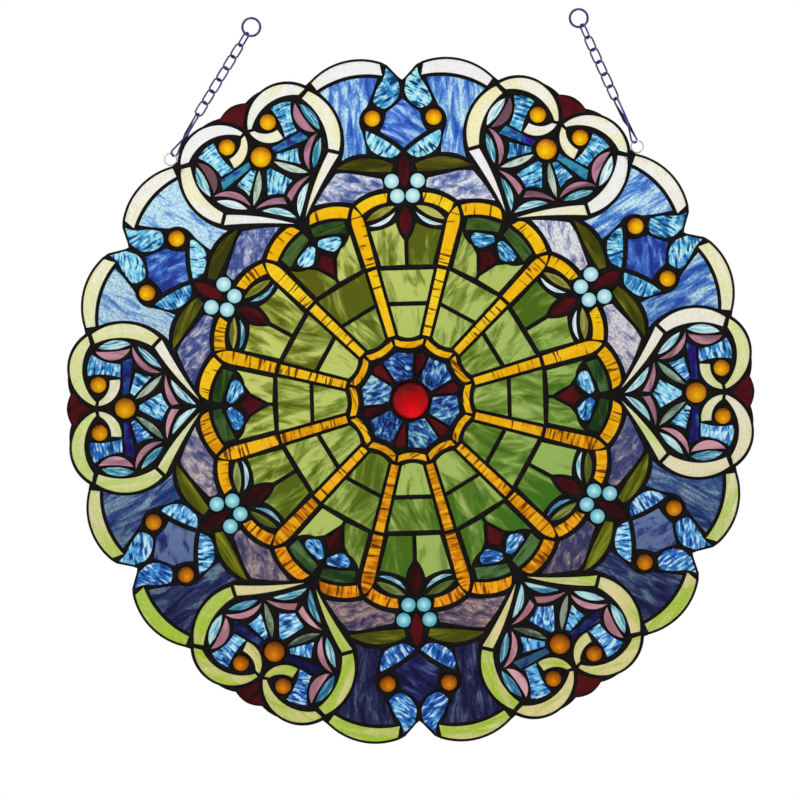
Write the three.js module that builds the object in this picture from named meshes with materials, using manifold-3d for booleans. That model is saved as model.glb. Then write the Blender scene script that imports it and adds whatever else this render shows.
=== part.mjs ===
// Round stained glass panel with a scalloped edge, hung from two short chains.
// Millimetres, +Z up. The panel stands in the XZ plane and its front looks along -Y.
// The origin lies midway between the two top rings, at the height where their hooks bear.
import * as THREE from "three";
import { mergeVertices } from "three/addons/utils/BufferGeometryUtils.js";
import Module from "manifold-3d";

// Driving dimensions
const HEARTS = 6;                  // hearts round the panel, with as many palmettes between them
const GLASS_THICKNESS = 3;
const SOLDER_THICKNESS = 5;
const FIT_GAP = 0.3;               // clearance between a pane and the solder round it
const EDGE_LINE = 1.8;             // solder outside the outermost panes
const ARC_TOLERANCE = 1.3;         // how far a faceted arc may leave the true one

const JEWEL_RADIUS = 16;
const JEWEL_HEIGHT = 9;
const JEWEL_SIDES = 12;
const ROSETTE_INNER = 20.3;
const ROSETTE_OUTER = 41.5;
const PETAL_ANGLE = 15;            // first petal of the rosette, from the heart axis

const RIB_ANGLE = 15;              // ribs stand this far to each side of every fan's axis
const RIB_START = 55.5;
const RIB_SEAM = 122;
const RIB_SHOULDER = 163;
const RIB_TIP = 178.5;
const RIB_HALF_START = 3.2;
const RIB_HALF_SEAM = 4.2;
const RIB_HALF_SHOULDER = 5.6;
const RIB_LINE = 3.1;              // solder between a rib and the fan beside it
const FAN_START = 58.5;

const PEARL_RADIUS = 6.2;
const SMALL_CAB_RADIUS = 7;
const LARGE_CAB_RADIUS = 9;
const DOME_RISE = 0.6;             // height of a domed glass as a share of its radius
const DOME_SHOULDER = 0.72;        // where a dome's side breaks over, as a share of its radius and height
const DOME_SIDES = 5;
const DOME_EDGE = 1.8;             // domes stay this far inside the edge of their pane

const LOOP_OUT = 208.5;            // soldered wire loops, sideways and up from the panel's centre
const LOOP_UP = 221;
const LOOP_RADIUS = 5.4;
const LOOP_WIRE = 1.3;
const BLOB_WIDTH = 8;              // blob of solder that holds a loop on the edge
const BLOB_DEPTH = 10;
const HOOK_LENGTH = 44;            // long wire hook, between the middles of its two bends
const HOOK_WIDTH = 8.4;
const HOOK_WIRE = 1.8;
const LINK_LENGTH = 13.8;
const LINK_WIDTH = 7.6;
const LINK_WIRE = 1.7;
const LINK_BITE = 0.3;             // links press into each other by this where they touch
const TOP_RING_RADIUS = 8;
const TOP_RING_WIRE = 2.2;
const RING_SIDES = 5;              // an odd count turns a flat side to the middle of the ring
const RING_STEPS = 8;
const LINK_SIDES = 4;
const LINK_STEPS = 6;
const HOOK_FOOT_TURN = 50;         // the hook's two wires cross, its foot and head turned this far
const HOOK_HEAD_TURN = 112;
const LINK_TURN = 25;              // links stand in turn to each side of the panel's plane
const LAST_LINK_TURN = 60;         // the last one stands across its top ring
const LEFT_LINKS = 7;
const RIGHT_LINKS = 6;
const LEFT_LEAN = 33;

const wasm = await Module();
wasm.setup();
const radians = THREE.MathUtils.degToRad;

// Solids: closed geometry to a manifold body for joining and cutting, and back
function solid(geometry) {
  const bare = geometry.clone();
  bare.deleteAttribute("normal");
  bare.deleteAttribute("uv");
  const merged = mergeVertices(bare, 1e-4);
  return new wasm.Manifold(new wasm.Mesh({
    numProp: 3,
    vertProperties: new Float32Array(merged.attributes.position.array),
    triVerts: new Uint32Array(merged.index.array),
  }));
}

function geometryOf(body) {
  const { vertProperties, triVerts } = body.getMesh();
  const geometry = new THREE.BufferGeometry();
  geometry.setAttribute("position", new THREE.BufferAttribute(vertProperties, 3));
  geometry.setIndex(new THREE.BufferAttribute(triVerts, 1));
  geometry.computeVertexNormals();
  return geometry;
}

const joined = (bodies) => bodies.reduce((sum, body) => sum.add(body));

// Outlines: corners are [u, v, bow], counter-clockwise, u outward along an axis of the panel.
// The bow is how far the side that leaves a corner stands out of the pane from a straight line.
function sidePoints([u, v, bow = 0], [endU, endV]) {
  const start = new THREE.Vector2(u, v);
  const run = new THREE.Vector2(endU - u, endV - v);
  const half = run.length() / 2;
  if (bow === 0 || half === 0) return [start];
  const radius = (half * half + bow * bow) / (2 * Math.abs(bow));
  const halfAngle = Math.asin(half / radius);
  const steps = Math.max(1, Math.round(halfAngle / Math.acos(1 - ARC_TOLERANCE / radius)));
  const along = run.clone().normalize();
  const out = new THREE.Vector2(along.y, -along.x).multiplyScalar(Math.sign(bow));
  const centre = start.clone().addScaledVector(along, half).addScaledVector(out, Math.abs(bow) - radius);
  return Array.from({ length: steps }, (_, i) => {
    const angle = halfAngle * (2 * i / steps - 1);
    return centre.clone()
      .addScaledVector(out, radius * Math.cos(angle))
      .addScaledVector(along, radius * Math.sin(angle));
  });
}

const openRun = (corners) => [
  ...corners.slice(0, -1).flatMap((corner, i) => sidePoints(corner, corners[i + 1])),
  new THREE.Vector2(...corners.at(-1)),
];
const outline = (corners) => openRun([...corners, corners[0]]).slice(0, -1);
const mirrored = (points) => points.map((p) => new THREE.Vector2(p.x, -p.y)).reverse();
const turned = (points, degrees) => {
  const middle = new THREE.Vector2();
  return points.map((p) => p.clone().rotateAround(middle, radians(degrees)));
};

// A pane that is its own mirror image: corners of its upper half, from the outer end inward.
function symmetric(corners) {
  const upper = openRun(corners);
  const lower = mirrored(upper).filter((p) => p.y !== 0);
  return [...upper, ...lower];
}

// The outline moved outward by a distance, each side parallel to itself.
function grown(points, distance) {
  return points.map((p, i) => {
    const before = p.clone().sub(points.at(i - 1)).normalize();
    const after = points[(i + 1) % points.length].clone().sub(p).normalize();
    const outward = new THREE.Vector2(before.y + after.y, -before.x - after.x);
    return p.clone().addScaledVector(outward, 2 * distance / outward.lengthSq());
  });
}

function prism(points, thickness) {
  const shape = new THREE.Shape(points);
  const geometry = new THREE.ExtrudeGeometry(shape, { depth: thickness, bevelEnabled: false });
  geometry.translate(0, 0, -thickness / 2);
  geometry.rotateX(Math.PI / 2);
  return solid(geometry);
}

// A domed glass at [u, v] on the axis that stands at the given angle, its foot at depth inside the pane.
function dome([u, v], radius, degrees, sides = DOME_SIDES, height = radius * DOME_RISE, depth = 0) {
  const face = GLASS_THICKNESS / 2;
  const profile = [
    new THREE.Vector2(0, -depth),
    new THREE.Vector2(radius, -depth),
    new THREE.Vector2(radius, face),
    new THREE.Vector2(radius * DOME_SHOULDER, face + height * DOME_SHOULDER),
    new THREE.Vector2(0, face + height),
  ];
  const geometry = new THREE.LatheGeometry(profile, sides);
  const [place] = turned([new THREE.Vector2(u, v)], degrees);
  geometry.rotateX(Math.PI);
  geometry.translate(place.x, 0, place.y);
  return solid(geometry);
}

// The scene graph: the panel hangs below the origin.
const object = new THREE.Group();
const panel = new THREE.Group();
object.add(panel);

const finishes = {
  solder: { color: 0x0f0b0b, roughness: 0.45, metalness: 0.6 },
  chain: { color: 0x4a4458, roughness: 0.4, metalness: 0.9 },
  jewel: { color: 0xd01018, roughness: 0.1, metalness: 0 },
  rosette: { color: 0x30508c, roughness: 0.2, metalness: 0 },
  green: { color: 0xa8b450, roughness: 0.25, metalness: 0 },
  amber: { color: 0xf5b010, roughness: 0.25, metalness: 0 },
  cream: { color: 0xf3efb0, roughness: 0.3, metalness: 0 },
  web: { color: 0x6fc0e0, roughness: 0.25, metalness: 0 },
  ground: { color: 0x7f93c8, roughness: 0.3, metalness: 0 },
  palmette: { color: 0x4fb4e4, roughness: 0.25, metalness: 0 },
};

function addMesh(parent, name, finish, body) {
  const mesh = new THREE.Mesh(geometryOf(body), new THREE.MeshStandardMaterial(finishes[finish]));
  mesh.name = name;
  parent.add(mesh);
  return mesh;
}

// A field of glass: its outlines joined to one pane, with any domes on its front.
// The solder is cut away round it with a small clearance.
const CUT_DEPTH = 2 * SOLDER_THICKNESS;
const openings = [];
function addField(name, finish, outlines, domes = []) {
  const panes = outlines.map((points) => prism(points, GLASS_THICKNESS));
  addMesh(panel, name, finish, joined([...panes, ...domes]));
  openings.push(...outlines.map((points) => prism(grown(points, FIT_GAP), CUT_DEPTH)));
}

// Centre: a domed red jewel in a rosette of petals and blue panes, in two halves
const polar = (radius, degrees, bow = 0) => [
  radius * Math.cos(radians(degrees)),
  radius * Math.sin(radians(degrees)),
  bow,
];
const jewelEdge = Array.from({ length: JEWEL_SIDES }, (_, i) => polar(JEWEL_RADIUS, i * 360 / JEWEL_SIDES));
openings.push(prism(grown(outline(jewelEdge), FIT_GAP), CUT_DEPTH));
addMesh(panel, "centre_jewel", "jewel",
  dome([0, 0], JEWEL_RADIUS, 0, JEWEL_SIDES, JEWEL_HEIGHT, GLASS_THICKNESS / 2));

function rosetteHalf(start) {
  const outer = [0, 60, 120].flatMap((step) => [
    polar(ROSETTE_OUTER, start + step - 6),
    polar(ROSETTE_OUTER, start + step + 10),
    polar(ROSETTE_OUTER + 3, start + step + 30),
  ]);
  const inner = [171, 140, 106, 72, 38, 4].map((step) => polar(ROSETTE_INNER, start + step));
  return outline([...outer, polar(ROSETTE_OUTER, start + 169.5), ...inner]);
}
addField("rosette_upper", "rosette", [rosetteHalf(PETAL_ANGLE)]);
addField("rosette_lower", "rosette", [rosetteHalf(PETAL_ANGLE + 180)]);

// Amber tracery: two ribs to each palmette, the bowed ring pieces at their feet and at their tips
const ribHalf = (u) => THREE.MathUtils.mapLinear(u, RIB_START, RIB_SEAM, RIB_HALF_START, RIB_HALF_SEAM);
const rib = symmetric([
  [RIB_TIP, 0, 1.5],
  [RIB_SHOULDER, RIB_HALF_SHOULDER],
  [RIB_SEAM, RIB_HALF_SEAM],
  [RIB_START, RIB_HALF_START * 0.8],
]);
const innerRing = symmetric([[52.8, 0, -0.8], [55.3, 14.1], [49.8, 12.9, 0.8], [47.3, 0]]);
const innerRingShort = outline([[47.6, -8.2], [53.2, -9, -1.7], [55.3, 14.1], [49.8, 12.9, 1.7]]);
const outerRingHeart = outline([[180.7, 5.2], [186, 8.5], [188.3, 13.5, 3], [170.5, 45.8], [164.8, 41.3, -2.5]]);
const outerRingPalmette = outline([[177, 16.8], [185.2, 15.8, 2.5], [170.5, 45.8], [164.8, 41.3, -1.8]]);

function tracery(palmette) {
  return [
    turned(innerRing, palmette),
    turned(innerRingShort, palmette - 30),
    turned(rib, palmette + RIB_ANGLE),
    turned(rib, palmette - RIB_ANGLE),
    turned(mirrored(outerRingHeart), palmette + 30),
    turned(outerRingHeart, palmette - 30),
    turned(outerRingPalmette, palmette),
    turned(mirrored(outerRingPalmette), palmette),
  ];
}

// Green fans between the ribs: their sides run along the ribs
function fanHalf(u) {
  const off = ribHalf(u) + RIB_LINE;
  return (u * Math.sin(radians(RIB_ANGLE)) - off) / Math.cos(radians(RIB_ANGLE));
}
const fanFoot = [FAN_START, fanHalf(FAN_START)];
const heartFan = symmetric([[177, 4], [167.3, 32.3], fanFoot]);
const palmetteFan = symmetric([[174.2, 10, 3], [158.5, fanHalf(158.5)], fanFoot]);

// Hearts: a cream scroll on each side, from the point round the lobe to its curl, the rim beside it,
// and a dark accent that joins the two lobes at the edge
const scroll = outline([
  [188.5, 5.8, 2.2], [229, 54, -6.3], [284.6, 57.6, -9.6], [280.4, 6.2, -3.6], [266.2, 24.2],
  [259.6, 24.8, 5], [281.2, 2.7, 19.3], [287.8, 66, 11], [222.5, 61.6, -1.2],
]);
const rim = outline([[290.5, 17.5], [300.5, 19.5, 9.3], [281.8, 85.9], [277.3, 82.7, -6]]);
const accent = outline([[285.5, 0, 5.4], [303, -12.5, 3], [303, 12.5, 5.4]]);

function heartScroll(heart) {
  return [
    turned(accent, heart),
    turned(scroll, heart),
    turned(mirrored(scroll), heart),
    turned(mirrored(rim), heart + 30),
    turned(rim, heart - 30),
  ];
}

// The web inside a heart: slivers and rays round one large domed glass, with two small ones
const LARGE_CAB = [255, 0];
const HEART_CAB = [278.3, 21.5];
const heartWeb = symmetric([
  [264.5, 0], [258.3, 12], [256.6, 27.5], [270, 26.5], [272, 17.5], [280, 14], [285.6, 20],
  [287.3, 38], [277.5, 54], [260, 58.6], [244, 54.5], [225, 41], [190.5, 0],
]);

// Ground panes beside a palmette, with the dark leaf that crosses them
const ground = outline([
  [190, 19.3], [198.2, 20.8], [205, 13], [211, 9.8], [221.5, 33.5], [242, 37.7], [252.5, 39],
  [287.8, 22.5, 4.9], [276.3, 73.6, -10], [216, 56], [208.5, 61], [176.3, 80.5, -1.8], [177.5, 47.8, -2.2],
]);

// Palmette: pearls and a dark diamond at its foot, four petals round a blue centre, two domed glasses
const PEARLS = [[182.6, 6.9], [196, 11.6]];
const PALMETTE_CAB = [252.5, 27.5];
const palmetteFlower = symmetric([
  [285.5, 0], [297.8, 13.2], [285.5, 17.8], [268, 26.3], [257.8, 33], [247.2, 33.6],
  [224, 29.3], [217, 14], [219.5, 5], [204, 5.6], [202, 12], [197.5, 17.7], [190.5, 15.6],
  [182.4, 13.1], [176.8, 9], [176.6, 0],
]);

function pair([u, v], radius, degrees) {
  return [dome([u, v], radius, degrees), dome([u, -v], radius, degrees)];
}

for (let i = 0; i < HEARTS; i++) {
  const heart = i * 360 / HEARTS;
  const palmette = heart + 180 / HEARTS;
  const number = i + 1;
  addField(`fan_heart_${number}`, "green", [turned(heartFan, heart)]);
  addField(`fan_palmette_${number}`, "green", [turned(palmetteFan, palmette)]);
  addField(`amber_tracery_${number}`, "amber", tracery(palmette));
  addField(`heart_scroll_${number}`, "cream", heartScroll(heart));
  addField(`heart_web_${number}`, "web", [turned(heartWeb, heart)], [
    dome(LARGE_CAB, LARGE_CAB_RADIUS - DOME_EDGE, heart),
    ...pair(HEART_CAB, SMALL_CAB_RADIUS - DOME_EDGE, heart),
  ]);
  addField(`ground_before_${number}`, "ground", [turned(mirrored(ground), palmette)]);
  addField(`ground_after_${number}`, "ground", [turned(ground, palmette)]);
  addField(`palmette_${number}`, "palmette", [turned(palmetteFlower, palmette)], [
    ...PEARLS.flatMap((place) => pair(place, PEARL_RADIUS - DOME_EDGE, palmette)),
    ...pair(PALMETTE_CAB, SMALL_CAB_RADIUS - DOME_EDGE, palmette),
  ]);
}

// Solder lines: one scalloped plate, cut open round every field of glass
const edgeOfHeart = openRun([[305.4 + EDGE_LINE, 0, 0.8], [303.4, 13.2, 0.9], [305.4, 30, 6], [288.8, 67.2]]);
const edgeOfPalmette = openRun([[287.2, -82, 9.5], [302.6, -18.5], [299.8, -13], [288.7, -2.8], [286.5, 0]]);
const edgeOfSixth = [
  ...edgeOfHeart,
  ...turned(edgeOfPalmette, 30),
  ...turned(mirrored(edgeOfPalmette).slice(1), 30),
  ...turned(mirrored(edgeOfHeart).slice(0, -1), 60),
];
const edge = Array.from({ length: HEARTS }, (_, i) => turned(edgeOfSixth, i * 360 / HEARTS)).flat();

// Solder blobs on the edge, one under each wire loop
function blob(sign) {
  const loop = new THREE.Vector2(sign * LOOP_OUT, LOOP_UP);
  const inward = loop.clone().normalize().multiplyScalar(-1);
  const across = new THREE.Vector2(-inward.y, inward.x);
  const top = LOOP_RADIUS + LOOP_WIRE / 2 + FIT_GAP;
  const corner = (depth, side) => loop.clone()
    .addScaledVector(inward, top + depth)
    .addScaledVector(across, side);
  return prism([
    corner(0, BLOB_WIDTH / 2), corner(BLOB_DEPTH, BLOB_WIDTH / 2),
    corner(BLOB_DEPTH, -BLOB_WIDTH / 2), corner(0, -BLOB_WIDTH / 2),
  ], GLASS_THICKNESS);
}
const plate = joined([prism(edge, SOLDER_THICKNESS), blob(-1), blob(1)]);
addMesh(panel, "solder_lines", "solder", plate.subtract(joined(openings)));

// Wire rings: a torus, its halves drawn apart along Z to make an oval link
function wireLink(radius, length, wire, sides, steps) {
  const geometry = new THREE.TorusGeometry(radius, wire / 2, sides, steps);
  geometry.rotateZ(Math.PI / steps);
  geometry.rotateX(Math.PI / 2);
  const position = geometry.attributes.position;
  for (let i = 0; i < position.count; i++) {
    position.setZ(i, position.getZ(i) + Math.sign(position.getZ(i)) * (length / 2 - radius));
  }
  return geometry;
}

// Turns the foot and the head of a long link about Z, each by its own angle
function turnHalves(geometry, foot, head) {
  const position = geometry.attributes.position;
  const upright = new THREE.Vector3(0, 0, 1);
  for (let i = 0; i < position.count; i++) {
    const point = new THREE.Vector3().fromBufferAttribute(position, i);
    point.applyAxisAngle(upright, radians(point.z < 0 ? foot : head));
    position.setXYZ(i, point.x, point.y, point.z);
  }
}

// The room inside a faceted ring, out to the flats of its wire
const clearRadius = (radius, wire) => radius * Math.cos(Math.PI / RING_STEPS) - wire / 2;
const roundRing = (radius, wire) => wireLink(radius, 2 * radius, wire, RING_SIDES, RING_STEPS);

// Each hanger: loop on the panel, long hook, chain and top ring, along a line that leans inward.
// Places along the line are measured from the middle of the loop.
const LINK_PITCH = LINK_LENGTH - LINK_WIRE + LINK_BITE;
const HOOK_FOOT = clearRadius(LOOP_RADIUS, LOOP_WIRE) - FIT_GAP - HOOK_WIRE / 2;
const CHAIN_FOOT = HOOK_FOOT + HOOK_LENGTH - HOOK_WIRE / 2 - FIT_GAP - LINK_WIRE / 2;
function ringPlace(links) {
  const chainTop = CHAIN_FOOT + (links - 1) * LINK_PITCH + LINK_LENGTH;
  return chainTop - LINK_WIRE / 2 - FIT_GAP + clearRadius(TOP_RING_RADIUS, TOP_RING_WIRE);
}

// Both top rings hang at one height, so the leans of the two lines follow from the left one.
const ringRise = ringPlace(LEFT_LINKS) * Math.cos(radians(LEFT_LEAN));
function addHanger(side, sign, links) {
  const loop = addMesh(panel, `loop_${side}`, "solder", solid(roundRing(LOOP_RADIUS, LOOP_WIRE)));
  loop.position.set(sign * LOOP_OUT, 0, LOOP_UP);

  const line = new THREE.Group();
  line.position.copy(loop.position);
  line.rotation.y = -sign * Math.acos(ringRise / ringPlace(links));
  panel.add(line);

  const hook = wireLink(HOOK_WIDTH / 2, HOOK_LENGTH, HOOK_WIRE, LINK_SIDES, LINK_STEPS);
  turnHalves(hook, HOOK_FOOT_TURN, HOOK_HEAD_TURN);
  hook.translate(0, 0, HOOK_FOOT + HOOK_LENGTH / 2);
  addMesh(line, `hook_${side}`, "chain", solid(hook));

  const chain = Array.from({ length: links }, (_, i) => {
    const link = wireLink(LINK_WIDTH / 2, LINK_LENGTH, LINK_WIRE, LINK_SIDES, LINK_STEPS);
    const turn = i < links - 1 ? LINK_TURN : LAST_LINK_TURN;
    link.rotateZ(radians(i % 2 ? -turn : turn));
    link.translate(0, 0, CHAIN_FOOT + LINK_LENGTH / 2 + i * LINK_PITCH);
    return solid(link);
  });
  addMesh(line, `chain_${side}`, "chain", joined(chain));

  const ring = addMesh(line, `top_ring_${side}`, "chain", solid(roundRing(TOP_RING_RADIUS, TOP_RING_WIRE)));
  ring.position.z = ringPlace(links);
  ring.rotation.y = -line.rotation.y;
}
addHanger("left", -1, LEFT_LINKS);
addHanger("right", 1, RIGHT_LINKS);

// The hooks bear on the flat inside the top of each ring, which is the height of the origin.
const seat = TOP_RING_RADIUS - TOP_RING_WIRE / 2 * Math.cos(Math.PI / RING_SIDES);
panel.position.z = -(LOOP_UP + ringRise + seat * Math.cos(Math.PI / RING_STEPS));

export default object;
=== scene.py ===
import math
import random

import bpy
from mathutils import Matrix, Vector, kdtree


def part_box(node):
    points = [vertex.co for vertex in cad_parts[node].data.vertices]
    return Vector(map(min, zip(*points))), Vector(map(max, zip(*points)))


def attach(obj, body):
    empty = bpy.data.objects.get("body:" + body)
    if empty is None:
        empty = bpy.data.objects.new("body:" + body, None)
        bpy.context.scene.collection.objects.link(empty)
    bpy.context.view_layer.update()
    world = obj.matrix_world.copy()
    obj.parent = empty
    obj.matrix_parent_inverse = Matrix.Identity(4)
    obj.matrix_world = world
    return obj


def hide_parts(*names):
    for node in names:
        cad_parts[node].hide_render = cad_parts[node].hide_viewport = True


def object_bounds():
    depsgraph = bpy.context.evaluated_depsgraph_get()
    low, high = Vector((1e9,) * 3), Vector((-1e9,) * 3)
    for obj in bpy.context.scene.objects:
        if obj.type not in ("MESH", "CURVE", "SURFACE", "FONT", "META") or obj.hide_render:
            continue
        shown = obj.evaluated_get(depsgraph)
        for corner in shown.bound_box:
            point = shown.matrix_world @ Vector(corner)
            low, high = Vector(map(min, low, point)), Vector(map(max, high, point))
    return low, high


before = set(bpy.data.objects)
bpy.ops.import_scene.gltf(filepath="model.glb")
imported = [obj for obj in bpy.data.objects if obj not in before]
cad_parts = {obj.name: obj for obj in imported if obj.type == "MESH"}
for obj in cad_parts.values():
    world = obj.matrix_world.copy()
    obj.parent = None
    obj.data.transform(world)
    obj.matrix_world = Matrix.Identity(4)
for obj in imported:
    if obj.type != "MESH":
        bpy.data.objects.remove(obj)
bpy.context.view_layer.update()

bpy.ops.object.select_all(action="DESELECT")

# The rosette round the middle: six panes of streaky blue sheet glass between six dark petals.
# Every pane of the panel is cut flat from sheet, in millimetres on the bench, u outward along an axis
# of the pattern, then laid in its place in the upright panel.
MM = 0.001
SIXTHS = 6
SIXTH_TURN = 360 / SIXTHS
GLASS_THICKNESS = 3.0
EDGE_GRIND = 0.3          # the ground edge, which reaches under the solder
STEP = 3.0                # length of one straight stretch along a cut
WELD = 0.01               # points of a mesh nearer than this become one
draws = random.Random(7)
jewel_low, jewel_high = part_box("centre_jewel")
MIDDLE = Vector((0, 0, (jewel_low.z + jewel_high.z) / 2))
UPRIGHT = Matrix.Translation(MIDDLE) @ Matrix.Rotation(math.pi / 2, 4, "X") @ Matrix.Scale(MM, 4)


def side(corner, end):
    """Points from a corner to the next; the corner's third value is how far the side bows out."""
    start, stop = Vector(corner[:2]), Vector(end[:2])
    bow = corner[2] if len(corner) > 2 else 0
    run = stop - start
    half = run.length / 2
    if bow == 0:
        count = max(1, round(2 * half / STEP))
        return [start + run * i / count for i in range(count)]
    along = run.normalized()
    out = Vector((along.y, -along.x)) * math.copysign(1, bow)
    radius = (half * half + bow * bow) / (2 * abs(bow))
    reach = math.asin(min(1, half / radius))
    if abs(bow) > half:
        reach = math.pi - reach
    count = max(2, round(2 * reach * radius / STEP))
    centre = start + along * half + out * (abs(bow) - radius)
    angles = [reach * (2 * i / count - 1) for i in range(count)]
    return [centre + out * radius * math.cos(a) + along * radius * math.sin(a) for a in angles]


def outline(*corners):
    """Counter-clockwise cutting line through corners (u, v) or (u, v, bow)."""
    ends = corners[1:] + corners[:1]
    return [point for corner, end in zip(corners, ends) for point in side(corner, end)]


def mirrored(points):
    return [Vector((p.x, -p.y)) for p in reversed(points)]


def turned(points, degrees):
    turn = Matrix.Rotation(math.radians(degrees), 2)
    return [turn @ p for p in points]


def polar(radius, degrees, *bow):
    angle = math.radians(degrees)
    return (radius * math.cos(angle), radius * math.sin(angle), *bow)


def edit(work):
    """Runs the modelling steps on all of the active mesh in edit mode."""
    bpy.ops.object.mode_set(mode="EDIT")
    bpy.ops.mesh.select_all(action="SELECT")
    work()
    bpy.ops.object.mode_set(mode="OBJECT")


def flat_mesh(name, outlines, thickness, grind):
    """A flat sheet cut to the outlines, lying on the bench, as a mesh."""
    curve = bpy.data.curves.new(name, "CURVE")
    curve.dimensions = "2D"
    curve.fill_mode = "BOTH"
    curve.extrude = thickness / 2 - grind
    curve.bevel_depth = grind
    curve.bevel_resolution = 0
    for points in outlines:
        spline = curve.splines.new("POLY")
        spline.points.add(len(points) - 1)
        spline.use_cyclic_u = True
        for spot, point in zip(spline.points, points):
            spot.co = (point.x, point.y, 0, 1)
    sheet = bpy.data.objects.new(name, curve)
    bpy.context.scene.collection.objects.link(sheet)
    bpy.ops.object.select_all(action="DESELECT")
    sheet.select_set(True)
    bpy.context.view_layer.objects.active = sheet
    bpy.ops.object.convert(target="MESH")
    return bpy.context.object


def joined(name, objects):
    bpy.ops.object.select_all(action="DESELECT")
    for part in objects:
        part.select_set(True)
    bpy.context.view_layer.objects.active = objects[0]
    bpy.ops.object.join()
    objects[0].name = name
    objects[0].data.name = name
    return objects[0]


def close_mesh():
    bpy.ops.mesh.remove_doubles(threshold=WELD)
    bpy.ops.mesh.normals_make_consistent(inside=False)


openings = []             # the outline of every pane in its place, where the solder leaves the glass clear


def placed(name, model, turns, grain, points, tints):
    """Copies of one bench model round the panel. The attribute "cut" holds where each copy lay on its sheet,
    along and across the grain in metres, and a number from 0 to 1 that tells the panes apart."""
    lie = Matrix.Rotation(math.radians(-grain), 2)
    bench = [lie @ v.co.xy * MM for v in model.data.vertices]
    copies = []
    for turn, tint in zip(turns, tints):
        mesh = model.data.copy()
        mesh.transform(UPRIGHT @ Matrix.Rotation(math.radians(turn), 4, "Z"))
        shift = Vector((draws.random(), draws.random()))
        values = [(p.x + shift.x, p.y + shift.y, tint) for p in bench]
        cut = mesh.attributes.new("cut", "FLOAT_VECTOR", "POINT")
        cut.data.foreach_set("vector", [number for value in values for number in value])
        copy = bpy.data.objects.new(name, mesh)
        bpy.context.scene.collection.objects.link(copy)
        copies.append(copy)
        openings.append(turned(points, turn))
    bpy.data.objects.remove(model)
    return copies


def six_turns(axis):
    return [axis + SIXTH_TURN * i for i in range(SIXTHS)]


def panes(name, *cuts):
    """One piece of glasswork: each cut is an outline, its axis in degrees, whether its mirror image
    is cut too, the direction of the sheet's grain on it, and perhaps how pale the six copies are."""
    copies = []
    for points, axis, both, grain, *pale in cuts:
        forms = [(points, grain), (mirrored(points), -grain)] if both else [(points, grain)]
        for form, lie in forms:
            model = flat_mesh(name, [form], GLASS_THICKNESS, EDGE_GRIND)
            edit(close_mesh)
            turns = six_turns(axis)
            tints = pale[0] if pale else [draws.random() for turn in turns]
            copies += placed(name, model, turns, lie, form, tints)
    return joined(name, copies)


def linear(code):
    """An sRGB hex colour as a linear one."""
    shares = [int(code[i:i + 2], 16) / 255 for i in (1, 3, 5)]
    return (*[s / 12.92 if s <= 0.04045 else ((s + 0.055) / 1.055) ** 2.4 for s in shares], 1)


def add_node(tree, kind, inputs, **settings):
    """A node with its settings; an input is a value or the output that feeds it."""
    made = tree.nodes.new(kind)
    for name, value in settings.items():
        setattr(made, name, value)
    for socket, value in inputs.items():
        if isinstance(value, bpy.types.NodeSocket):
            tree.links.new(value, made.inputs[socket])
        else:
            made.inputs[socket].default_value = value
    return made


def new_material(name):
    material = bpy.data.materials.new(name)
    material.use_nodes = True
    return material, material.node_tree, material.node_tree.nodes["Principled BSDF"]


SHEET_IOR = 1.52
FAINT_GLOSS = linear("#5C5C5C")  # the glass is seen by the light through it, so little of its gloss shows
PANEL_RADIUS = 307 * MM
FADE_REACH = 0.75         # share of that radius, each way, over which colours change with height


# The blend from the foot colours to the head colours of a glass. Along the height it is mostly painted
# light: most glasses are paler toward the head, where the light behind the panel is brighter. Some of it is
# the sheet's own change of colour.
def height_share(tree, tilt=(0, 1)):
    """From 0 at the foot of the panel to 1 at its head, or along another tilt."""
    place = add_node(tree, "ShaderNodeTexCoord", {}).outputs["Object"]
    way = add_node(tree, "ShaderNodeVectorMath", {0: place, 1: (tilt[0], 0, tilt[1])},
                   operation="DOT_PRODUCT").outputs["Value"]
    middle = tilt[1] * MIDDLE.z
    fade = FADE_REACH * PANEL_RADIUS
    return add_node(tree, "ShaderNodeMapRange", {
        "Value": way, "From Min": middle - fade, "From Max": middle + fade},
        interpolation_type="SMOOTHSTEP").outputs[0]


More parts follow.
